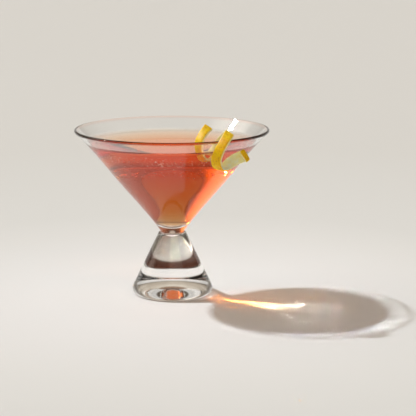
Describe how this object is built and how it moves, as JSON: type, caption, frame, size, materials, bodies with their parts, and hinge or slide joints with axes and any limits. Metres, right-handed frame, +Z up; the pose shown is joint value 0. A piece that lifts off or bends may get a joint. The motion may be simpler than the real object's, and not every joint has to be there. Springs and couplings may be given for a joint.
{
  "type": "martini glass",
  "caption": "Martini glass with an open conical bowl on a solid glass cone foot, holding a drink, with a curled citrus twist that lifts off the rim.",
  "frame": {"origin": "on the glass's axis, at the surface that the foot stands on", "axes": "+Z up along the glass's axis; -Y towards the front, and the twist hangs on the rim at the front right, between -Y and +X"},
  "size_m": [0.12, 0.12, 0.1117],
  "materials": {
    "bowl_glass": "clear polished glass",
    "foot_glass": "clear solid glass",
    "drink": "clear orange-red liquid",
    "lemon_zest": "waxy pored yellow peel",
    "lemon_pith": "soft fibrous pale pith"
  },
  "bodies": {
    "glass": {"bowl": "bowl_glass", "foot": "foot_glass", "cocktail": "drink"},
    "garnish": {"twist_zest": "lemon_zest", "twist_pith": "lemon_pith"}
  },
  "joints": [
    {"name": "twist_lift", "type": "slide", "parent": "glass", "child": "garnish", "axis": [0, 0, 1], "range_m": [0, 0.04]}
  ]
}
